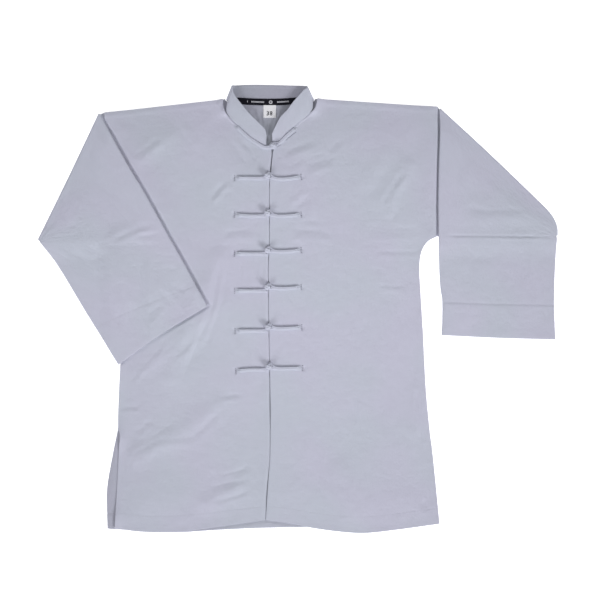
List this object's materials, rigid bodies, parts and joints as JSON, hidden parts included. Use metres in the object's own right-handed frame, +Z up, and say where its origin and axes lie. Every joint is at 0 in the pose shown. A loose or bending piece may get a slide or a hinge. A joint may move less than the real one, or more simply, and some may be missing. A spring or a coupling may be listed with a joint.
{
  "type": "kung fu jacket",
  "caption": "Grey cotton kung fu jacket laid flat, with a stand collar, knotted cord fastenings down the front and both wide sleeves folded over on top.",
  "frame": {"origin": "centre of the bounding box on the surface that the jacket lies on", "axes": "+X from the wearer's right to the wearer's left across the jacket, +Y from the hem to the collar, +Z up from the surface, out of the front"},
  "size_m": [0.9599, 0.8297, 0.0165],
  "materials": {
    "grey_cotton": "plain-weave cotton, pale lavender grey, matt",
    "black_tape": "woven tape, black with white marks",
    "white_label": "woven label, white with dark figures"
  },
  "bodies": {
    "root": {"back_panel": "grey_cotton", "front_panel_right": "grey_cotton", "front_panel_left": "grey_cotton", "sleeve_right": "grey_cotton", "sleeve_left": "grey_cotton", "collar": "grey_cotton", "neck_tape": "black_tape", "size_label": "white_label", "frog_1_knot": "grey_cotton", "frog_1_loop": "grey_cotton", "frog_2_knot": "grey_cotton", "frog_2_loop": "grey_cotton", "frog_3_knot": "grey_cotton", "frog_3_loop": "grey_cotton", "frog_4_knot": "grey_cotton", "frog_4_loop": "grey_cotton", "frog_5_knot": "grey_cotton", "frog_5_loop": "grey_cotton", "frog_6_knot": "grey_cotton", "frog_6_loop": "grey_cotton", "frog_7_knot": "grey_cotton", "frog_7_loop": "grey_cotton"}
  },
  "joints": []
}
